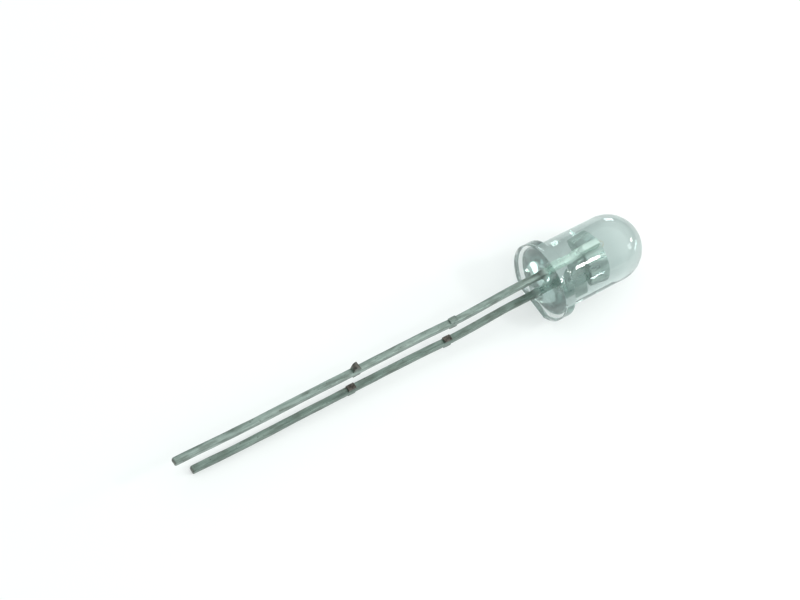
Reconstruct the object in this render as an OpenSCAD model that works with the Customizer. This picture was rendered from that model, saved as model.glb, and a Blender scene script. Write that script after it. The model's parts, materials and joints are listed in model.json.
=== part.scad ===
// Through-hole LED with a round clear lens, a seating flange and two stamped leads.
// Each piece is drawn upright, with the lens axis on Z and the seating face at z = 0, and the cathode
// on the +X side. lying() then lays the whole LED down as it comes to rest on a table: on the rear
// edge of its cathode flat and on the tip of the cathode lead, with the anode lead on top.

/* [Lens] */
// Diameter of the barrel and of the dome
lens_d = 5; // [4.2:0.1:8]
// Height from the seating face to the tip of the dome
lens_h = 8.7; // [7.2:0.1:14]
// How far the flange stands out from the barrel
flange_rim = 0.45; // [0.35:0.05:1]
// Thickness of the flange
flange_h = 1; // [0.6:0.1:2]
// Rounding on the front edge of the flange
flange_round = 0.15; // [0.05:0.05:0.3]
// Radius of the blend between the flange and the barrel
barrel_blend = 0.25; // [0.05:0.05:0.5]
// Depth of the flat that marks the cathode side, cut into the flange
flat_cut = 0.4; // [0.1:0.05:0.9]
// Height of the epoxy that crept down each lead while it cured
creep_h = 0.45; // [0.2:0.05:0.8]
// Thickness of the crept epoxy where it ends on the faces of a lead
creep_film = 0.05; // [0.03:0.01:0.1]

/* [Leads] */
// Thickness of the sheet that the leads are stamped from
sheet_t = 0.5; // [0.3:0.05:0.8]
// Width of each lead
lead_w = 0.5; // [0.3:0.05:0.8]
// Distance between the centre lines of the two leads
lead_pitch = 2.54; // [2:0.01:3.2]
// Length of the anode lead below the seating face
anode_len = 30; // [20:0.5:40]
// How much shorter the cathode lead is cut
cathode_short = 1.5; // [0.5:0.1:3]
// Chamfer on the corners of each cut tip
tip_chamfer = 0.1; // [0.02:0.01:0.14]

/* [Tie bars] */
// Distance from the seating face to the middle of the upper tie bar
upper_bar = 8; // [4:0.5:10]
// Distance from the seating face to the middle of the lower tie bar
lower_bar = 16; // [12:0.5:18.5]
// Width of a tie bar along the leads
bar_w = 0.7; // [0.4:0.1:1.2]
// How far a trimmed stub stands out from the side of a lead
stub_out = 0.2; // [0.05:0.05:0.4]
// How far the torn stub on the outer side of the anode lead stands out
torn_out = 0.6; // [0.3:0.05:1]

/* [Lead frame head] */
// Height at which the cathode post starts to widen into its anvil
anvil_start = 1.5; // [1:0.1:1.9]
// Height at which the anvil has its full width
anvil_full = 2.7; // [2.3:0.1:3]
// Gap between the anvil and the anode post
post_gap = 0.3; // [0.2:0.05:0.4]
// Outer diameter of the reflector cup at its rim
cup_d = 2.4; // [1.8:0.1:2.9]
// Outer diameter of the reflector cup at its foot
cup_foot_d = 2.2; // [1.6:0.1:2.3]
// Height of the foot of the cup, where it stands on the anvil
cup_foot = 3.3; // [3.1:0.1:3.7]
// Height of the rim of the cup
cup_rim = 4.95; // [4.8:0.05:5.3]
// Width of the rim round the mouth of the cup
rim_w = 0.15; // [0.08:0.01:0.25]
// Depth of the bowl in the cup
bowl_depth = 0.6; // [0.4:0.05:0.8]
// Diameter of the flat floor of the bowl
bowl_floor_d = 0.9; // [0.7:0.05:1.2]
// Height at which the anode post starts to lean outwards
post_bend = 2.2; // [1.7:0.1:2.5]
// Height of the top of the anode post, where the wire lands
post_top = 4.7; // [4.4:0.1:5.2]
// Gap between the rim of the cup and the top of the anode post
flag_gap = 0.15; // [0.1:0.01:0.25]
// Epoxy left between the top of the anode post and the outside of the barrel
epoxy_cover = 0.45; // [0.3:0.05:0.6]

/* [Die and wire] */
// Side of the square die
die_w = 0.3; // [0.2:0.01:0.4]
// Height of the die
die_h = 0.18; // [0.1:0.01:0.25]
// Diameter of the pad of conductive adhesive under the die
attach_d = 0.5; // [0.43:0.01:0.65]
// Thickness of the pad
attach_h = 0.03; // [0.01:0.01:0.05]
// Diameter of the bond wire
wire_d = 0.03; // [0.02:0.005:0.05]
// Rise of the wire above the line between its two ends
wire_rise = 0.6; // [0.55:0.05:0.9]
// Diameter of the ball on the die and of the foot on the anode post
bond_d = 0.1; // [0.06:0.01:0.15]
// Height of the ball and of the foot
bond_h = 0.03; // [0.02:0.005:0.05]

/* [Hidden] */
$fn = 96;
cut_over = 1;

// lens
lens_r = lens_d / 2;
flange_r = lens_r + flange_rim;
flat_x = flange_r - flat_cut;
dome_z = lens_h - lens_r;
blend_r = min(barrel_blend, flange_rim - flange_round);
creep_core = max(lead_w, sheet_t) / 2 + creep_film;

// leads
lead_x = lead_pitch / 2;
lead_out = lead_x + lead_w / 2;
lead_in = lead_x - lead_w / 2;
cathode_len = anode_len - cathode_short;
bars = [upper_bar, lower_bar];

// head of the lead frame
anvil_in = -(lead_in - post_gap);
cup_r = cup_d / 2;
bowl_z = cup_rim - bowl_depth;
flag_in = cup_r + flag_gap;
flag_out = lens_r - epoxy_cover;

// die and wire
die_z = bowl_z + attach_h;
die_top = die_z + die_h;
wire_start = [0, die_top + bond_h / 2];
wire_end = [-(flag_in + flag_out) / 2, post_top + bond_h / 2];
chord = wire_end - wire_start;
half_chord = norm(chord) / 2;
loop_r = (half_chord * half_chord + wire_rise * wire_rise) / (2 * wire_rise);
loop_half = wire_rise < loop_r ? asin(half_chord / loop_r) : 180 - asin(half_chord / loop_r);

// rest pose: the cathode lead swings down about the edge of the flat until something on it lands
tip_point = [lead_out, cathode_len - tip_chamfer];
stub_points = [for (bar = bars) [lead_out + stub_out, bar + bar_w / 2]];
rest_tilt = min([for (point = concat([tip_point], stub_points)) atan((flat_x - point[0]) / point[1])]);
rest_z = flat_x * cos(rest_tilt);
dome_end = dome_z * cos(rest_tilt) + lens_r;
anode_end = anode_len * cos(rest_tilt) + (lead_out - tip_chamfer) * sin(rest_tilt);
rest_x = (anode_end - dome_end) / 2;

// lays the upright LED down, with the middle of its length over the origin
module lying() {
    translate([rest_x, 0, rest_z])
        rotate([0, 90 - rest_tilt, 0])
            children();
}

// half section of the flange: rounded on its front edge
module flange_section() {
    square([flange_r, flange_h - flange_round]);
    square([flange_r - flange_round, flange_h]);
    translate([flange_r - flange_round, flange_h - flange_round])
        circle(flange_round);
}

// concave quarter round that fills the corner at the origin
module corner_fill(r) {
    difference() {
        square(r);
        translate([r, r])
            circle(r);
    }
}

// half section of the whole cast body
module lens_section() {
    flange_section();
    square([lens_r, dome_z]);
    translate([lens_r, flange_h])
        corner_fill(blend_r);
    translate([0, dome_z])
        intersection() {
            circle(lens_r);
            square(lens_r);
        }
}

// epoxy that crept down a lead
module creep() {
    mirror([0, 0, 1])
        rotate_extrude() {
            square([creep_core, creep_h]);
            translate([creep_core, 0])
                corner_fill(creep_h);
        }
}

// the cast body before the metal is taken out of it
module lens_body() {
    difference() {
        rotate_extrude()
            lens_section();
        translate([flat_x, -flange_r, -cut_over])
            cube([flange_r, 2 * flange_r, flange_h + barrel_blend + 2 * cut_over]);
    }
    for (x = [-lead_x, lead_x])
        translate([x, 0, 0])
            creep();
}

// one lead in the plane of the sheet, on its centre line, from its tip up to z = top
module lead_outline(len, top) {
    half = lead_w / 2;
    polygon([
        [-half, top], [-half, tip_chamfer - len], [tip_chamfer - half, -len],
        [half - tip_chamfer, -len], [half, tip_chamfer - len], [half, top]
    ]);
    for (bar = bars)
        translate([-half - stub_out, -bar - bar_w / 2])
            square([lead_w + 2 * stub_out, bar_w]);
}

// stands a flat outline up in the plane of the leads and gives it the thickness of the sheet
module stamped() {
    rotate([90, 0, 0])
        linear_extrude(sheet_t, center = true)
            children();
}

// reflector cup, headed on top of the anvil
module cup() {
    rotate_extrude()
        polygon([
            [0, cup_foot], [cup_foot_d / 2, cup_foot], [cup_r, cup_rim], [cup_r - rim_w, cup_rim],
            [bowl_floor_d / 2, bowl_z], [0, bowl_z]
        ]);
}

module cathode_lead_shape() {
    stamped() {
        translate([lead_x, 0])
            lead_outline(cathode_len, anvil_start);
        polygon([
            [lead_in, anvil_start], [lead_out, anvil_start], [lead_out, cup_foot],
            [anvil_in, cup_foot], [anvil_in, anvil_full]
        ]);
    }
    cup();
}

module anode_lead_shape() {
    stamped() {
        translate([-lead_x, 0])
            lead_outline(anode_len, post_bend);
        translate([-lead_out - torn_out, -lower_bar - bar_w / 2])
            square([torn_out + lead_w / 2, bar_w]);
        polygon([
            [-lead_in, post_bend], [-flag_in, cup_foot], [-flag_in, post_top],
            [-flag_out, post_top], [-flag_out, cup_foot], [-lead_out, post_bend]
        ]);
    }
}

module die_attach_shape() {
    translate([0, 0, bowl_z])
        cylinder(h = attach_h, d = attach_d);
}

module die_shape() {
    translate([-die_w / 2, -die_w / 2, die_z])
        cube([die_w, die_w, die_h]);
}

// round bond on top of the die or of the anode post
module bond(x, z) {
    translate([x, 0, z])
        cylinder(h = bond_h, d = bond_d);
}

module bond_wire_shape() {
    middle = (wire_start + wire_end) / 2;
    slope = atan2(-chord[1], -chord[0]);
    bond(wire_start[0], die_top);
    bond(wire_end[0], post_top);
    translate([middle[0], 0, middle[1]])
        rotate([90, 0, 0])
            rotate([0, 0, slope])
                translate([0, wire_rise - loop_r])
                    rotate([0, 0, 90 - loop_half])
                        rotate_extrude(angle = 2 * loop_half)
                            translate([loop_r, 0])
                                circle(d = wire_d);
}

// the cast epoxy lens, with the room that the metal, the die and the wire take up in it
module lens() {
    color([0.85, 0.93, 0.92, 0.35])
        lying()
            difference() {
                lens_body();
                cathode_lead_shape();
                anode_lead_shape();
                die_attach_shape();
                die_shape();
                bond_wire_shape();
            }
}

// lead, anvil and reflector cup in one stamping, on the side of the flat
module cathode_lead() {
    color([0.55, 0.63, 0.58])
        lying()
            cathode_lead_shape();
}

// the longer lead and its post
module anode_lead() {
    color([0.6, 0.68, 0.62])
        lying()
            anode_lead_shape();
}

// pad of conductive adhesive in the bowl of the cup
module die_attach() {
    color([0.7, 0.7, 0.68])
        lying()
            die_attach_shape();
}

// the light-emitting chip
module die() {
    color([0.45, 0.3, 0.28])
        lying()
            die_shape();
}

// gold wire from the top of the die to the anode post
module bond_wire() {
    color([0.9, 0.7, 0.3])
        lying()
            bond_wire_shape();
}

lens();
cathode_lead();
anode_lead();
die_attach();
die();
bond_wire();
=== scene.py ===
import json
from math import atan2, cos, pi, radians, sin

import bmesh
import bpy
from mathutils import Matrix, Quaternion, Vector, noise


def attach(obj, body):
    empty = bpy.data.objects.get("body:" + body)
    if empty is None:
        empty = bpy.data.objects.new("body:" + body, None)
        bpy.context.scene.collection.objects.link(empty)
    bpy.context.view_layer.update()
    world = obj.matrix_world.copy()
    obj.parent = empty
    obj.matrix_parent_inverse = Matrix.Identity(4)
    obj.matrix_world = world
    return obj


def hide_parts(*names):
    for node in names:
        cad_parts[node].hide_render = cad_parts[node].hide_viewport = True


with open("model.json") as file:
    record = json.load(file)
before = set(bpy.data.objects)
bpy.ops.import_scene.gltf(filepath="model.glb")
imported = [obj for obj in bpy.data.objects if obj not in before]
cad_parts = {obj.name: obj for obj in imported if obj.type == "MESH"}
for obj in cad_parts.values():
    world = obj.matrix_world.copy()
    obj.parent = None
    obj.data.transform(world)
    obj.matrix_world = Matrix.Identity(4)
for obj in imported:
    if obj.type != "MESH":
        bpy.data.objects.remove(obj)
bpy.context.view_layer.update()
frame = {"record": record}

# Every piece is drawn upright in millimetres: lens axis on Z, seating face at z = 0, cathode towards +X.
# layDown takes it from there to where the LED lies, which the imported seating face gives.
mm = 0.001


def findPose():
    seat = next(m for m in frame["record"]["mounts"] if m["name"] == "seating_face")
    dome = -Vector(seat["axis"])
    under = Vector((dome.z, 0, -dome.x))
    turn = Matrix((under, Vector((0, 1, 0)), dome)).transposed().to_4x4()
    return Matrix.Translation(Vector(seat["pos_m"])) @ turn @ Matrix.Scale(mm, 4)


layDown = findPose()
seatPlace = layDown.translation
domeWay = (layDown @ Vector((0, 0, 1)) - seatPlace).normalized()
print("pose found")


# ways of shaping

def cornerLine(bm, corners):
    # a string of corners in the XZ plane, each (x, z) or (x, z, rounding, segments)
    verts = [bm.verts.new((c[0], 0, c[1])) for c in corners]
    for pair in zip(verts, verts[1:]):
        bm.edges.new(pair)
    for vert, corner in zip(verts, corners):
        if len(corner) > 2:
            bmesh.ops.bevel(bm, geom=[vert], offset=corner[2], offset_type="OFFSET", segments=corner[3],
                            profile=0.5, affect="VERTICES", material=-1)


def turned(corners, steps):
    # a line of corners turned right round the Z axis
    bm = bmesh.new()
    cornerLine(bm, corners)
    bmesh.ops.spin(bm, geom=bm.verts[:] + bm.edges[:], cent=(0, 0, 0), axis=(0, 0, 1),
                   angle=2 * pi, steps=steps, use_merge=True)
    bmesh.ops.remove_doubles(bm, verts=bm.verts, dist=1e-4)
    bmesh.ops.recalc_face_normals(bm, faces=bm.faces)
    return bm


def moved(bm, place):
    bmesh.ops.translate(bm, verts=bm.verts, vec=place)
    return bm


def block(size, place):
    bm = bmesh.new()
    bmesh.ops.create_cube(bm, size=1, matrix=Matrix.Translation(place) @ Matrix.Diagonal((*size, 1)))
    return bm


def flatBall(radius, squash, place):
    bm = bmesh.new()
    bmesh.ops.create_uvsphere(bm, u_segments=24, v_segments=14, radius=radius,
                              matrix=Matrix.Translation(place) @ Matrix.Diagonal((*squash, 1)))
    return bm


def sheetCut(outline, thickness):
    # a flat outline in the XZ plane given the thickness of the sheet
    bm = bmesh.new()
    face = bm.faces.new([bm.verts.new((x, -thickness / 2, z)) for x, z in outline])
    made = bmesh.ops.extrude_face_region(bm, geom=[face])
    top = [v for v in made["geom"] if isinstance(v, bmesh.types.BMVert)]
    bmesh.ops.translate(bm, verts=top, vec=(0, thickness, 0))
    bmesh.ops.recalc_face_normals(bm, faces=bm.faces)
    return bm


def softenEdges(bm, width, segments):
    edges = [e for e in bm.edges if e.is_manifold and e.calc_face_angle(0) > radians(30)]
    bmesh.ops.bevel(bm, geom=edges, offset=width, offset_type="OFFSET", segments=segments, profile=0.5,
                    affect="EDGES", clamp_overlap=True, material=-1)
    return bm


def sliceAlong(bm, low, high, step):
    # loops across the length, so that a wavy surface has something to bend
    z = low + step
    while z < high:
        geom = bm.verts[:] + bm.edges[:] + bm.faces[:]
        bmesh.ops.bisect_plane(bm, geom=geom, plane_co=(0, 0, z), plane_no=(0, 0, 1))
        z += step


def waver(bm, depth, scale, stretch=1.0):
    # sinks the surface by a smooth random depth, never out past where it was
    bm.normal_update()
    for vert in bm.verts:
        spot = Vector((vert.co.x, vert.co.y, vert.co.z * stretch)) * scale
        vert.co -= vert.normal * depth * (0.5 + 0.5 * noise.noise(spot))


def looseObject(name, bm):
    mesh = bpy.data.meshes.new(name)
    bm.to_mesh(mesh)
    bm.free()
    made = bpy.data.objects.new(name, mesh)
    bpy.context.collection.objects.link(made)
    return made


def joined(name, base, others):
    # one closed mesh from several
    body = looseObject(name, base)
    tools = [looseObject(name + "Tool", other) for other in others]
    for tool in tools:
        step = body.modifiers.new("join", "BOOLEAN")
        step.operation = "UNION"
        step.solver = "EXACT"
        step.object = tool
    done = bmesh.new()
    done.from_mesh(body.evaluated_get(bpy.context.evaluated_depsgraph_get()).to_mesh())
    for spare in [body, *tools]:
        bpy.data.objects.remove(spare)
    return done


def finishPiece(name, bm, material, stands, smooth=35):
    bm.transform(layDown)
    piece = looseObject(name, bm)
    piece.data.materials.append(material)
    piece.data.shade_smooth()
    piece.data.set_sharp_from_angle(angle=radians(smooth))
    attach(piece, "root")
    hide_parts(stands)
    print(name, len(piece.data.polygons), "faces")


# ways of making a material

def newMaterial(name):
    material = bpy.data.materials.new(name)
    material.use_nodes = True
    nodes = material.node_tree.nodes
    return material, nodes, material.node_tree.links, nodes["Principled BSDF"]


def addNode(nodes, kind, **settings):
    node = nodes.new(kind)
    for key, value in settings.items():
        setattr(node, key, value)
    return node


def setInputs(node, values):
    for key, value in values.items():
        node.inputs[key].default_value = value


def feed(links, socket, given):
    # a socket takes a link, or a plain colour or number
    if isinstance(given, bpy.types.NodeSocket):
        links.new(given, socket)
    elif isinstance(given, tuple):
        socket.default_value = (*given, 1)
    else:
        socket.default_value = given


def newGroup(name, inputs):
    # a shader group with named inputs and one value out
    group = bpy.data.node_groups.new(name, "ShaderNodeTree")
    for label, kind in inputs.items():
        group.interface.new_socket(label, in_out="INPUT", socket_type=kind)
    group.interface.new_socket("Value", in_out="OUTPUT", socket_type="NodeSocketFloat")
    given = addNode(group.nodes, "NodeGroupInput")
    result = addNode(group.nodes, "NodeGroupOutput")
    return group, group.nodes, group.links, given, result


def makeMottle():
    # cloudy value from 0 to 1 in object space, with its own number of features per metre along each axis
    group, nodes, links, given, result = newGroup("mottle", {
        "Features": "NodeSocketVector", "Detail": "NodeSocketFloat", "Low": "NodeSocketFloat",
        "High": "NodeSocketFloat",
    })
    place = addNode(nodes, "ShaderNodeTexCoord")
    spread = addNode(nodes, "ShaderNodeVectorMath", operation="MULTIPLY")
    cloud = addNode(nodes, "ShaderNodeTexNoise")
    cloud.inputs["Scale"].default_value = 1
    cut = addNode(nodes, "ShaderNodeMapRange")
    links.new(place.outputs["Object"], spread.inputs[0])
    links.new(given.outputs["Features"], spread.inputs[1])
    links.new(spread.outputs["Vector"], cloud.inputs["Vector"])
    links.new(given.outputs["Detail"], cloud.inputs["Detail"])
    links.new(cloud.outputs["Fac"], cut.inputs["Value"])
    links.new(given.outputs["Low"], cut.inputs["From Min"])
    links.new(given.outputs["High"], cut.inputs["From Max"])
    links.new(cut.outputs["Result"], result.inputs["Value"])
    return group


def makeFade():
    # goes from 0 to 1 between two places along the way that the LED lies
    group, nodes, links, given, result = newGroup("fade", {
        "From": "NodeSocketFloat", "To": "NodeSocketFloat",
    })
    place = addNode(nodes, "ShaderNodeTexCoord")
    split = addNode(nodes, "ShaderNodeSeparateXYZ")
    mask = addNode(nodes, "ShaderNodeMapRange")
    links.new(place.outputs["Object"], split.inputs["Vector"])
    links.new(split.outputs["X"], mask.inputs["Value"])
    links.new(given.outputs["From"], mask.inputs["From Min"])
    links.new(given.outputs["To"], mask.inputs["From Max"])
    links.new(mask.outputs["Result"], result.inputs["Value"])
    return group


mottleGroup = makeMottle()
fadeGroup = makeFade()


def mottle(nodes, features, detail, low, high):
    node = addNode(nodes, "ShaderNodeGroup", node_tree=mottleGroup)
    setInputs(node, {"Features": features, "Detail": detail, "Low": low, "High": high})
    return node.outputs["Value"]


def fade(nodes, start, end):
    # start and end in mm ahead of the seating face
    node = addNode(nodes, "ShaderNodeGroup", node_tree=fadeGroup)
    setInputs(node, {"From": seatPlace.x + start * mm, "To": seatPlace.x + end * mm})
    return node.outputs["Value"]


def scaled(nodes, links, value, low, high):
    # spreads a value of 0 to 1 over low to high
    node = addNode(nodes, "ShaderNodeMapRange")
    setInputs(node, {"To Min": low, "To Max": high})
    links.new(value, node.inputs["Value"])
    return node.outputs["Result"]


def blended(nodes, links, share, first, second):
    node = addNode(nodes, "ShaderNodeMix", data_type="RGBA")
    for socket, given in ((node.inputs[0], share), (node.inputs[6], first), (node.inputs[7], second)):
        feed(links, socket, given)
    return node.outputs[2]


def combined(nodes, links, way, first, second):
    node = addNode(nodes, "ShaderNodeMath", operation=way)
    for socket, given in zip(node.inputs, (first, second)):
        feed(links, socket, given)
    return node.outputs[0]


def bumped(nodes, links, shader, height, depth):
    # depth in mm
    bump = addNode(nodes, "ShaderNodeBump")
    setInputs(bump, {"Strength": 1, "Distance": depth * mm})
    links.new(height, bump.inputs["Height"])
    links.new(bump.outputs["Normal"], shader.inputs["Normal"])


epoxy = {
    "barrelR": 2.5, "height": 8.7, "flangeR": 2.95, "flangeH": 1.0, "frontRound": 0.15, "blend": 0.25,
    "rearIn": 0.02, "rearUp": 0.03, "wallStart": 0.08, "hold": 0.04, "flatX": 2.55, "steps": 192,
    "dish": 0.06, "dishR": 1.9, "dishRound": 1.2,
    # epoxy crept down the leads
    "creepH": 0.45, "creepCore": 0.3, "creepLap": 0.005, "creepPlug": 0.5, "creepSteps": 64, "leadX": 1.27,
    "bubbles": [
        ((-1.32, -1.85, 0.2), 0.12),
        ((0.2, -1.7, 0.6), 0.06),
        ((1.6, 1.1, 0.5), 0.07),
        ((-1.5, 1.2, 1.9), 0.05),
    ],
    # finish: roughnesses from and to, patterns as features per metre, detail, low cut, high cut
    "clear": 0.97, "ior": 1.54, "alpha": 0.92, "tint": (0.51, 0.67, 0.64), "density": 200,
    "smear": ((700, 1100, 1100), 4, 0.5, 0.75), "scuff": ((9000, 900, 900), 2, 0.62, 0.72), "haze": 0.05,
    "cloud": ((900, 900, 900), 3, 0.35, 0.65), "castHaze": (0.02, 0.12), "rearFade": (0.2, 0.12),
    "wave": ((420, 420, 420), 1, 0.2, 0.8), "waveShare": 0.1,
    "pits": ((800, 800, 800), 1, 0.25, 0.75), "relief": 0.02,
}


def clearEpoxy():
    s = epoxy
    material, nodes, links, shader = newMaterial("clearEpoxy")
    setInputs(shader, {"Transmission Weight": s["clear"], "IOR": s["ior"], "Base Color": (1, 1, 1, 1),
                       "Alpha": s["alpha"]})
    worn = combined(nodes, links, "MAXIMUM", mottle(nodes, *s["smear"]), mottle(nodes, *s["scuff"]))
    # the rear face set in open air, so it is cloudier than the moulded sides
    rear = fade(nodes, *s["rearFade"])
    cloud = scaled(nodes, links, mottle(nodes, *s["cloud"]), *s["castHaze"])
    rough = combined(nodes, links, "MULTIPLY", cloud, rear)
    rough = combined(nodes, links, "MAXIMUM", rough, scaled(nodes, links, worn, 0.0, s["haze"]))
    links.new(rough, shader.inputs["Roughness"])
    wave = combined(nodes, links, "MULTIPLY", mottle(nodes, *s["wave"]), s["waveShare"])
    pits = combined(nodes, links, "MULTIPLY", mottle(nodes, *s["pits"]), rear)
    bumped(nodes, links, shader, combined(nodes, links, "ADD", wave, pits), s["relief"])
    depth = addNode(nodes, "ShaderNodeVolumeAbsorption")
    setInputs(depth, {"Color": (*s["tint"], 1), "Density": s["density"]})
    links.new(depth.outputs[0], nodes["Material Output"].inputs["Volume"])
    return material


def castBody():
    # dome, barrel, flange and dished rear face, with the cathode flat cut off
    s = epoxy
    wall, barrel = s["flangeR"], s["barrelR"]
    bm = turned([
        (0, s["dish"]), (s["dishR"], s["dish"], s["dishRound"], 12),
        (wall - s["rearIn"], 0, s["rearUp"], 3), (wall, s["rearUp"], s["rearIn"], 2),
        (wall, s["wallStart"]), (wall, s["flangeH"] - s["frontRound"] - s["hold"]),
        (wall, s["flangeH"], s["frontRound"], 6), (barrel, s["flangeH"], s["blend"], 8),
        (barrel, s["flangeH"] + s["blend"] + s["hold"]), (barrel, s["height"] - barrel - s["hold"]),
        (barrel, s["height"], barrel - 1e-4, 40), (0, s["height"]),
    ], s["steps"])
    cut = bmesh.ops.bisect_plane(bm, geom=bm.verts[:] + bm.edges[:] + bm.faces[:], clear_outer=True,
                                 plane_co=(s["flatX"], 0, 0), plane_no=(1, 0, 0))
    rim = [e for e in cut["geom_cut"] if isinstance(e, bmesh.types.BMEdge)]
    bmesh.ops.edgeloop_fill(bm, edges=rim)
    bmesh.ops.recalc_face_normals(bm, faces=bm.faces)
    return bm


def creptRing(side):
    s = epoxy
    top = s["dish"] + s["creepLap"]
    return moved(turned([
        (0, -s["creepH"]), (s["creepCore"], -s["creepH"]),
        (s["creepCore"], top, top + s["creepH"] - 1e-3, 10), (s["creepCore"] + top + s["creepH"], top),
        (s["creepPlug"], s["creepPlug"]), (0, s["creepPlug"]),
    ], s["creepSteps"]), (side * s["leadX"], 0, 0))


def makeLens():
    bm = joined("lensBody", castBody(), [creptRing(-1), creptRing(1)])
    for place, radius in epoxy["bubbles"]:
        ball = bmesh.ops.create_uvsphere(bm, u_segments=20, v_segments=12, radius=radius,
                                         matrix=Matrix.Translation(place))
        faces = {f for v in ball["verts"] for f in v.link_faces}
        bmesh.ops.reverse_faces(bm, faces=list(faces))
    finishPiece("epoxy_lens", bm, clearEpoxy(), "lens", 30)


makeLens()

# both leads: one sheet of steel, with the marks that the shears left on it, and painted shade darkening the
# stubs that sit between the two leads
lead = {
    "thick": 0.5, "width": 0.5, "tip": 0.1, "round": 0.08,
    "stubThick": 0.46, "stubSoft": 0.035, "stubRoot": 0.06,
    "slice": 0.25, "sink": 0.03, "waves": 1.7, "waveStretch": 0.45,
    # how the leads wander sideways on their way down: height below the seat, sideways shift
    "wander": [(0, 0), (2, 0), (7.5, -0.15), (11, -0.09), (20, -0.09), (24, -0.11), (30, -0.02)],
    # how dark the tip is and how far up, how far round a stub the mark goes and how soon it is full
    "tipMark": 0.6, "tipReach": 0.14, "tipFade": 0.1, "stubReach": 0.45, "stubFade": 0.6,
}
# its finish: patterns as features per metre, detail, low cut, high cut; colours from and to
tin = {
    "streak": ((350, 5000, 5000), 5, 0.3, 0.7),
    "patch": ((900, 2600, 2600), 4, 0.45, 0.7), "patchShare": 0.55, "patchColor": (0.12, 0.135, 0.115),
    "speck": ((7000, 9000, 9000), 2, 0.66, 0.72), "speckShare": 0.7, "speckColor": (0.05, 0.045, 0.04),
    "grime": ((4000, 4000, 4000), 3, 0.25, 0.6), "bareSteelAndShade": ((0.02, 0.017, 0.016), (0.14, 0.125, 0.11)),
    "rough": (0.34, 0.46), "patchRough": 0.14, "insideSmooth": 0.12, "insideFade": (-0.3, 0.4),
    "grimeRelief": 0.8, "relief": 0.012,
}


def tinnedSteel(name, outsideTinPaintedLight, insideTinPaintedLight):
    # bright inside the epoxy, dull and streaked outside it, dark where it was sheared; the colours passed in
    # are painted lighter for the anode and darker for the cathode, as light and shade
    s = tin
    material, nodes, links, shader = newMaterial(name)
    shader.inputs["Metallic"].default_value = 1
    streak, patch, speck, grime = (mottle(nodes, *s[key]) for key in ("streak", "patch", "speck", "grime"))
    patchy = combined(nodes, links, "MULTIPLY", patch, s["patchShare"])
    specked = combined(nodes, links, "MULTIPLY", speck, s["speckShare"])
    outer = blended(nodes, links, streak, *outsideTinPaintedLight)
    outer = blended(nodes, links, patchy, outer, s["patchColor"])
    outer = blended(nodes, links, specked, outer, s["speckColor"])
    inner = blended(nodes, links, streak, *insideTinPaintedLight)
    easing = addNode(nodes, "ShaderNodeMapRange", interpolation_type="SMOOTHSTEP")
    links.new(fade(nodes, *s["insideFade"]), easing.inputs["Value"])
    inside = easing.outputs["Result"]
    plated = blended(nodes, links, inside, outer, inner)
    # the sheared mark: bare cut steel, and painted shade on the stubs between the leads
    shearedAndShade = addNode(nodes, "ShaderNodeAttribute", attribute_name="shearedAndShade")
    bareSteelAndShade = blended(nodes, links, grime, *s["bareSteelAndShade"])
    links.new(blended(nodes, links, shearedAndShade.outputs["Fac"], plated, bareSteelAndShade), shader.inputs["Base Color"])
    rough = scaled(nodes, links, streak, *s["rough"])
    rough = combined(nodes, links, "ADD", rough, scaled(nodes, links, patch, 0, s["patchRough"]))
    rough = combined(nodes, links, "SUBTRACT", rough, scaled(nodes, links, inside, 0, s["insideSmooth"]))
    links.new(rough, shader.inputs["Roughness"])
    relief = combined(nodes, links, "MULTIPLY", grime, s["grimeRelief"])
    bumped(nodes, links, shader, combined(nodes, links, "ADD", streak, relief), s["relief"])
    return material


def stubTool(x, stub):
    height, way, _, corners = stub
    face, root = lead["width"] / 2, lead["width"] / 2 - lead["stubRoot"]
    outline = [(x + way * root, height + corners[0][1])]
    outline += [(x + way * (face + out), height + along) for out, along in corners]
    outline.append((x + way * root, height + corners[-1][1]))
    return softenEdges(sheetCut(outline, lead["stubThick"]), lead["stubSoft"], 2)


def wanderAt(depth):
    # smooth steps between the listed heights
    for (low, first), (high, second) in zip(lead["wander"], lead["wander"][1:]):
        if low <= depth <= high:
            t = (depth - low) / (high - low)
            return first + (second - first) * t * t * (3 - 2 * t)
    return 0


def wearLead(bm, x, length, stubs, top):
    # wavy skin, a sideways wander, and the mark of the shears kept as an attribute, with painted shade on the
    # stubs between the leads
    s = lead
    sliceAlong(bm, -length, top, s["slice"])
    waver(bm, s["sink"], s["waves"], s["waveStretch"])
    layer = bm.verts.layers.float.new("shearedAndShade")
    for vert in bm.verts:
        mark = s["tipMark"] * min(1, max(0, (s["tipReach"] - length - vert.co.z) / s["tipFade"]))
        for height, way, markAndShade, corners in stubs:
            out = (vert.co.x - x) * way - s["width"] / 2
            if abs(vert.co.z - height) < s["stubReach"] and out > 0:
                mark = max(mark, markAndShade * min(1, out / (s["stubFade"] * max(c[0] for c in corners))))
        vert[layer] = mark
        vert.co.y += wanderAt(-vert.co.z)


def sidesOf(x):
    return x - lead["width"] / 2, x + lead["width"] / 2


def stamped(s, inside):
    # the flat stamping of a lead; inside holds its corners in the lens, from the right side round to the left
    left, right = sidesOf(s["x"])
    length, tip = s["length"], lead["tip"]
    outline = [(left + tip, -length), (right - tip, -length), (right, tip - length), *inside,
               (left, tip - length)]
    return softenEdges(sheetCut(outline, lead["thick"]), lead["round"], 3)


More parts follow.
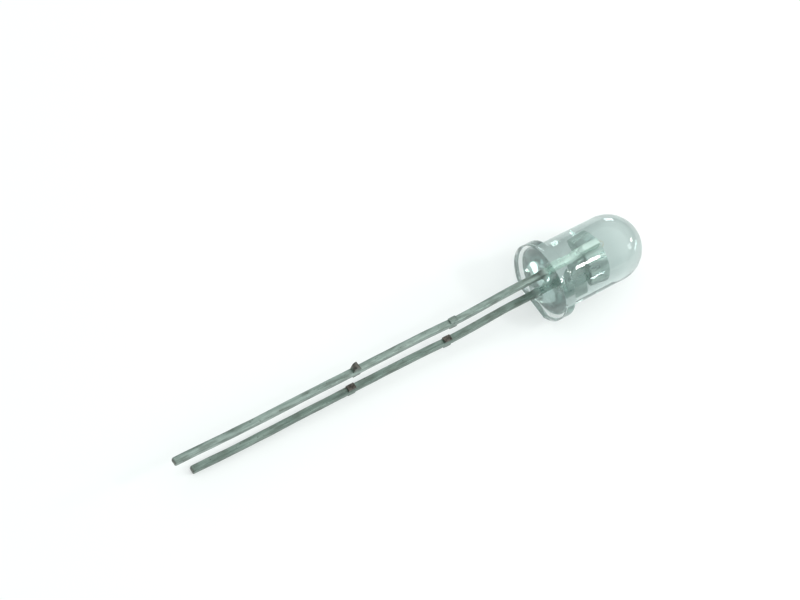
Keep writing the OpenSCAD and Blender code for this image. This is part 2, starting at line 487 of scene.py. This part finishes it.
anode = {
    "x": -1.27, "length": 30,
    # post with a wider flag at its top, where the wire is bonded
    "postBend": 2.2, "flagFoot": 3.3, "flagIn": 1.35, "flagOut": 2.05, "postTop": 4.7,
    # trimmed tie bars: height, side of the lead (-1 or 1), how dark (the stubs between the leads darker as
    # painted shade), corners as (how far out, along)
    "stubs": [
        (-8, -1, 0.15, [(0, -0.35), (0.15, -0.31), (0.2, 0.12), (0.13, 0.3), (0, 0.35)]),
        (-8, 1, 0.8, [(0, -0.35), (0.17, -0.33), (0.2, 0.28), (0, 0.35)]),
        (-16, -1, 0.9, [(0, -0.35), (0.22, -0.3), (0.5, -0.2), (0.6, -0.04), (0.56, 0.1), (0.3, 0.16),
                        (0.14, 0.3), (0, 0.35)]),
        (-16, 1, 0.9, [(0, -0.35), (0.2, -0.27), (0.17, 0.33), (0, 0.35)]),
    ],
    # the anode's tin colours are painted lighter, as light from above falling on its post and faces
    "outsideTinPaintedLight": ((0.20, 0.255, 0.23), (0.40, 0.48, 0.44)), "insideTinPaintedLight": ((0.66, 0.82, 0.74), (0.82, 0.97, 0.90)),
}


def makeAnode():
    s = anode
    left, right = sidesOf(s["x"])
    bm = stamped(s, [
        (right, s["postBend"]), (-s["flagIn"], s["flagFoot"]), (-s["flagIn"], s["postTop"]),
        (-s["flagOut"], s["postTop"]), (-s["flagOut"], s["flagFoot"]), (left, s["postBend"]),
    ])
    bm = joined("anodeBody", bm, [stubTool(s["x"], stub) for stub in s["stubs"]])
    wearLead(bm, s["x"], s["length"], s["stubs"], s["postTop"])
    metal = tinnedSteel("tinnedPostPaintedLit", s["outsideTinPaintedLight"], s["insideTinPaintedLight"])
    finishPiece("anode_frame", bm, metal, "anode_lead")


cathode = {
    "x": 1.27, "length": 28.5,
    # anvil, and the reflector cup that stands on it
    "anvilStart": 1.5, "anvilFull": 2.7, "anvilIn": -0.72, "anvilLap": 0.1,
    "cupFoot": 3.3, "cupFootR": 1.1, "cupRim": 4.95, "cupR": 1.2, "cupSteps": 96, "rimW": 0.15,
    "bowlZ": 4.35, "bowlFloorR": 0.45,
    "footRound": 0.12, "rimRound": 0.05, "lipRound": 0.04, "bowlRound": 0.1,
    # trimmed tie bars as on the anode; those on the -1 side sit between the leads and are darker as painted
    # shade
    "stubs": [
        (-8, -1, 1, [(0, -0.35), (0.2, -0.29), (0.18, 0.33), (0, 0.35)]),
        (-8, 1, 0.3, [(0, -0.35), (0.13, -0.33), (0.2, -0.05), (0.19, 0.31), (0, 0.35)]),
        (-16, -1, 1, [(0, -0.35), (0.18, -0.33), (0.2, 0.3), (0, 0.35)]),
        (-16, 1, 0.3, [(0, -0.35), (0.12, -0.28), (0.16, 0.3), (0, 0.35)]),
    ],
    # the cathode's tin colours are painted darker than the anode's, as shade on the lower lead
    "outsideTinPaintedLight": ((0.15, 0.20, 0.175), (0.31, 0.385, 0.345)), "insideTinPaintedLight": ((0.36, 0.45, 0.42), (0.56, 0.66, 0.62)),
}


def makeCathode():
    s = cathode
    left, right = sidesOf(s["x"])
    up = s["cupFoot"] + s["anvilLap"]
    bm = stamped(s, [
        (right, up), (s["anvilIn"], up), (s["anvilIn"], s["anvilFull"]), (left, s["anvilStart"]),
    ])
    cup = turned([
        (0, s["cupFoot"]), (s["cupFootR"], s["cupFoot"], s["footRound"], 5),
        (s["cupR"], s["cupRim"], s["rimRound"], 4), (s["cupR"] - s["rimW"], s["cupRim"], s["lipRound"], 3),
        (s["bowlFloorR"], s["bowlZ"], s["bowlRound"], 5), (0, s["bowlZ"]),
    ], s["cupSteps"])
    bm = joined("cathodeBody", bm, [cup] + [stubTool(s["x"], stub) for stub in s["stubs"]])
    wearLead(bm, s["x"], s["length"], s["stubs"], s["anvilStart"])
    metal = tinnedSteel("tinnedCupPaintedShade", s["outsideTinPaintedLight"], s["insideTinPaintedLight"])
    finishPiece("cathode_frame", bm, metal, "cathode_lead")


makeAnode()
makeCathode()

die = {
    "side": 0.3, "height": 0.18, "saw": 0.012,
    # finish: the gold pad on top fades out between the two radii
    "grain": ((9000, 60000, 60000), 3, 0.3, 0.7), "colors": ((0.16, 0.06, 0.045), (0.30, 0.13, 0.10)),
    "rough": (0.18, 0.4), "relief": 0.002, "goldPad": (0.075, 0.07), "gold": (0.9, 0.68, 0.3),
}
adhesive = {
    "height": 0.03, "radius": 0.25, "inward": 0.015, "up": 0.02, "round": 0.008, "shoulder": 0.03,
    "shoulderRound": 0.02, "steps": 64, "sink": 0.004, "waves": 30,
    # fillet that climbs the die
    "filletLow": 0.02, "filletH": 0.07, "filletFoot": 0.025, "filletTop": 0.004, "filletRound": 0.012,
    # finish
    "flake": ((40000, 40000, 40000), 3, 0.35, 0.65), "colors": ((0.42, 0.42, 0.40), (0.78, 0.78, 0.75)),
    "metal": (0.2, 0.9), "rough": (0.65, 0.35), "relief": 0.004,
}
padFoot = cathode["bowlZ"]
dieFoot = padFoot + adhesive["height"]
dieTop = dieFoot + die["height"]


def silverAdhesive():
    s = adhesive
    material, nodes, links, shader = newMaterial("silverAdhesive")
    flake = mottle(nodes, *s["flake"])
    links.new(blended(nodes, links, flake, *s["colors"]), shader.inputs["Base Color"])
    links.new(scaled(nodes, links, flake, *s["metal"]), shader.inputs["Metallic"])
    links.new(scaled(nodes, links, flake, *s["rough"]), shader.inputs["Roughness"])
    bumped(nodes, links, shader, flake, s["relief"])
    return material


def makeAdhesive():
    # a pad that wets the bowl and climbs a little way up the die
    s = adhesive
    half = die["side"] / 2
    bm = turned([
        (0, padFoot), (s["radius"], padFoot, s["round"], 3),
        (s["radius"] - s["inward"], padFoot + s["up"], s["round"], 3),
        (half + s["shoulder"], dieFoot, s["shoulderRound"], 5), (0, dieFoot),
    ], s["steps"])
    foot = die["side"] + 2 * s["filletFoot"]
    fillet = block((foot, foot, s["filletH"]), (0, 0, dieFoot - s["filletLow"] + s["filletH"] / 2))
    narrowing = (half + s["filletTop"]) / (half + s["filletFoot"])
    for vert in fillet.verts:
        if vert.co.z > dieFoot:
            vert.co.x *= narrowing
            vert.co.y *= narrowing
    softenEdges(fillet, s["filletRound"], 3)
    bm = joined("adhesiveBody", bm, [fillet])
    waver(bm, s["sink"], s["waves"])
    finishPiece("silver_pad", bm, silverAdhesive(), "die_attach")


def sawnChip():
    # dark sawn chip with a gold pad in the middle of its top
    s = die
    material, nodes, links, shader = newMaterial("sawnChip")
    grain = mottle(nodes, *s["grain"])
    body = blended(nodes, links, grain, *s["colors"])
    place = addNode(nodes, "ShaderNodeTexCoord")
    centre = addNode(nodes, "ShaderNodeVectorMath", operation="DISTANCE")
    centre.inputs[1].default_value = layDown @ Vector((0, 0, dieTop))
    links.new(place.outputs["Object"], centre.inputs[0])
    pad = addNode(nodes, "ShaderNodeMapRange")
    setInputs(pad, {"From Min": s["goldPad"][0] * mm, "From Max": s["goldPad"][1] * mm})
    links.new(centre.outputs["Value"], pad.inputs["Value"])
    gold = pad.outputs["Result"]
    links.new(blended(nodes, links, gold, body, s["gold"]), shader.inputs["Base Color"])
    links.new(gold, shader.inputs["Metallic"])
    links.new(scaled(nodes, links, grain, *s["rough"]), shader.inputs["Roughness"])
    bumped(nodes, links, shader, grain, s["relief"])
    return material


def makeDie():
    s = die
    bm = block((s["side"], s["side"], s["height"]), (0, 0, dieFoot + s["height"] / 2))
    softenEdges(bm, s["saw"], 2)
    finishPiece("led_chip", bm, sawnChip(), "die")


bond = {
    "radius": 0.015, "rise": 0.6, "steps": 48, "lift": 0.015,
    "ballR": 0.05, "ballUp": 0.016, "ballSquash": (1, 1, 0.36),
    "stitchUp": 0.012, "stitchSquash": (1, 0.8, 0.3),
    # finish
    "drawn": ((20000, 60000, 20000), 2, 0.3, 0.7), "colors": ((0.86, 0.62, 0.24), (1.0, 0.80, 0.40)),
    "rough": (0.15, 0.32), "relief": 0.001,
}


def drawnGold():
    s = bond
    material, nodes, links, shader = newMaterial("drawnGold")
    shader.inputs["Metallic"].default_value = 1
    drawn = mottle(nodes, *s["drawn"])
    links.new(blended(nodes, links, drawn, *s["colors"]), shader.inputs["Base Color"])
    links.new(scaled(nodes, links, drawn, *s["rough"]), shader.inputs["Roughness"])
    bumped(nodes, links, shader, drawn, s["relief"])
    return material


def makeWire():
    # an arc from the ball on the die to the stitch on the anode post
    s = bond
    postX, postTop = -(anode["flagIn"] + anode["flagOut"]) / 2, anode["postTop"]
    start = Vector((0, 0, dieTop + s["lift"]))
    end = Vector((postX, 0, postTop + s["lift"]))
    chord = end - start
    half = chord.length / 2
    arcR = (half * half + s["rise"] ** 2) / (2 * s["rise"])
    swing = 4 * atan2(s["rise"], half)
    side = Vector((chord.z, 0, -chord.x)).normalized()
    side = side if side.z > 0 else -side
    centre = (start + end) / 2 + side * (s["rise"] - arcR)
    out = (start - centre).normalized()
    along = Vector((0, 1, 0)).cross(out)
    turn = Matrix((out, Vector((0, 1, 0)), -along)).transposed().to_4x4()
    bm = bmesh.new()
    ring = bmesh.ops.create_circle(bm, cap_ends=True, segments=12, radius=s["radius"],
                                   matrix=Matrix.Translation(start) @ turn)
    faces = list({f for v in ring["verts"] for f in v.link_faces})
    way = -1 if out.cross(end - centre).y < 0 else 1
    bmesh.ops.spin(bm, geom=faces, cent=centre, axis=(0, way, 0), angle=swing, steps=s["steps"])
    bmesh.ops.recalc_face_normals(bm, faces=bm.faces)
    ball = flatBall(s["ballR"], s["ballSquash"], (0, 0, dieTop + s["ballUp"]))
    stitch = flatBall(s["ballR"], s["stitchSquash"], (postX, 0, postTop + s["stitchUp"]))
    bm = joined("wireBody", bm, [ball, stitch])
    finishPiece("gold_wire", bm, drawnGold(), "bond_wire")


makeAdhesive()
makeDie()
makeWire()

studio = {"floorSize": 0.8, "floorColor": (0.93, 0.94, 0.94), "veil": 0.4}


def makeFloor():
    # the veil is white that only the camera and reflected or bent rays see, so no light comes from it
    s = studio
    bm = bmesh.new()
    bmesh.ops.create_grid(bm, x_segments=1, y_segments=1, size=s["floorSize"] / 2)
    floor = looseObject("floor", bm)
    material, nodes, links, shader = newMaterial("paleFloor")
    setInputs(shader, {"Base Color": (*s["floorColor"], 1), "Roughness": 0.7, "Specular IOR Level": 0.2})
    white = addNode(nodes, "ShaderNodeEmission")
    path = addNode(nodes, "ShaderNodeLightPath")
    seen = combined(nodes, links, "MAXIMUM", path.outputs["Is Camera Ray"], path.outputs["Is Glossy Ray"])
    seen = combined(nodes, links, "MAXIMUM", seen, path.outputs["Is Transmission Ray"])
    mix = addNode(nodes, "ShaderNodeMixShader")
    links.new(combined(nodes, links, "MULTIPLY", seen, s["veil"]), mix.inputs["Fac"])
    links.new(shader.outputs[0], mix.inputs[1])
    links.new(white.outputs[0], mix.inputs[2])
    links.new(mix.outputs[0], nodes["Material Output"].inputs["Surface"])
    floor.data.materials.append(material)


# the room round the object: a dim horizon under a bright ceiling, dimmer on the far side
sky = {
    "stops": [
        (0.0, (0.07, 0.10, 0.11)),
        (0.24, (0.13, 0.18, 0.19)),
        (0.46, (0.98, 1.07, 1.05)),
        (1.0, (1.25, 1.32, 1.30)),
    ],
    "farSide": (0.72, 0.6, 0), "farFrom": 0.2, "farFull": 0.9, "farShade": 0.6,
}


def makeWorld():
    world = bpy.data.worlds.new("studio")
    bpy.context.scene.world = world
    world.use_nodes = True
    nodes, links = world.node_tree.nodes, world.node_tree.links
    backdrop = nodes["Background"]
    place = addNode(nodes, "ShaderNodeTexCoord")
    split = addNode(nodes, "ShaderNodeSeparateXYZ")
    links.new(place.outputs["Generated"], split.inputs["Vector"])
    tone = addNode(nodes, "ShaderNodeValToRGB")
    stops = tone.color_ramp.elements
    while len(stops) < len(sky["stops"]):
        stops.new(0.5)
    for stop, (height, color) in zip(stops, sky["stops"]):
        stop.position = height
        stop.color = (*color, 1)
    links.new(split.outputs["Z"], tone.inputs["Fac"])
    links.new(tone.outputs["Color"], backdrop.inputs["Color"])
    side = addNode(nodes, "ShaderNodeVectorMath", operation="DOT_PRODUCT")
    side.inputs[1].default_value = sky["farSide"]
    links.new(place.outputs["Generated"], side.inputs[0])
    shade = addNode(nodes, "ShaderNodeMapRange")
    setInputs(shade, {"From Min": sky["farFrom"], "From Max": sky["farFull"], "To Min": 1,
                      "To Max": sky["farShade"]})
    links.new(side.outputs["Value"], shade.inputs["Value"])
    links.new(shade.outputs["Result"], backdrop.inputs["Strength"])
    white = addNode(nodes, "ShaderNodeBackground")
    white.inputs["Color"].default_value = (1, 1, 1, 1)
    path = addNode(nodes, "ShaderNodeLightPath")
    mix = addNode(nodes, "ShaderNodeMixShader")
    links.new(path.outputs["Is Camera Ray"], mix.inputs["Fac"])
    links.new(backdrop.outputs[0], mix.inputs[1])
    links.new(white.outputs[0], mix.inputs[2])
    links.new(mix.outputs[0], nodes["World Output"].inputs["Surface"])


# each lamp: which way it stands, how far off in m, width and length in m, watts, colour
lamps = {
    "window": ((0.4476, -0.4618, 0.7664), 0.0916, (0.003, 0.011), 0.008, (1, 0.97, 0.95)),
    "pane": ((0.405, -0.555, 0.727), 0.0916, (0.001, 0.03), 0.006, (0.9, 1, 1)),
    "rim": ((0.86, -0.27, 0.39), 0.2, (0.028, 0.028), 0.06, (0.97, 1, 0.9)),
    "pool": ((0.69, -0.56, 0.46), 0.2, (0.045, 0.045), 0.028, (0.95, 1, 1)),
    "far": ((0.62, 0.76, 0.17), 0.2, (0.05, 0.05), 0.06, (0.88, 0.98, 1)),
    "front": ((0.487, -0.872, 0.045), 0.2, (0.0022, 0.013), 0.0025, (0.85, 1, 1)),
    "side": ((0.92, -0.38, 0.055), 0.2, (0.08, 0.02), 0.035, (0.85, 1, 1)),
}
lampAim = 4  # mm above the seating face


def makeLamps():
    aim = seatPlace + domeWay * lampAim * mm
    for name, (stand, distance, size, watts, color) in lamps.items():
        light = bpy.data.lights.new(name, "AREA")
        light.shape = "RECTANGLE"
        light.size = size[0]
        light.size_y = size[1]
        light.energy = watts
        light.color = color
        lamp = bpy.data.objects.new(name, light)
        lamp.visible_camera = False
        bpy.context.collection.objects.link(lamp)
        # its length lies across the lens axis
        back = Vector(stand).normalized()
        across = back.cross(domeWay).normalized()
        lamp.location = aim + back * distance
        lamp.rotation_mode = "QUATERNION"
        lamp.rotation_quaternion = Matrix((across.cross(back), across, back)).transposed().to_quaternion()


# aim and distance in mm, angles in degrees
shot = {
    "aim": (2.28, 4.68, 0), "azimuth": 220.6, "elevation": 54.75, "distance": 133.5, "roll": 18.16,
    "focal": 84.8,
}


def makeCamera():
    s = shot
    data = bpy.data.cameras.new("camera")
    camera = bpy.data.objects.new("camera", data)
    bpy.context.collection.objects.link(camera)
    data.lens = s["focal"]
    data.clip_start = 0.005
    data.clip_end = 10
    side, up = radians(s["azimuth"]), radians(s["elevation"])
    back = Vector((cos(up) * cos(side), cos(up) * sin(side), sin(up)))
    camera.location = (Vector(s["aim"]) + back * s["distance"]) * mm
    camera.rotation_mode = "QUATERNION"
    camera.rotation_quaternion = back.to_track_quat("Z", "Y") @ Quaternion((0, 0, 1), radians(s["roll"]))
    bpy.context.scene.camera = camera


makeFloor()
makeWorld()
makeLamps()
makeCamera()
bpy.context.scene.view_settings.view_transform = "Standard"
print("studio ready")
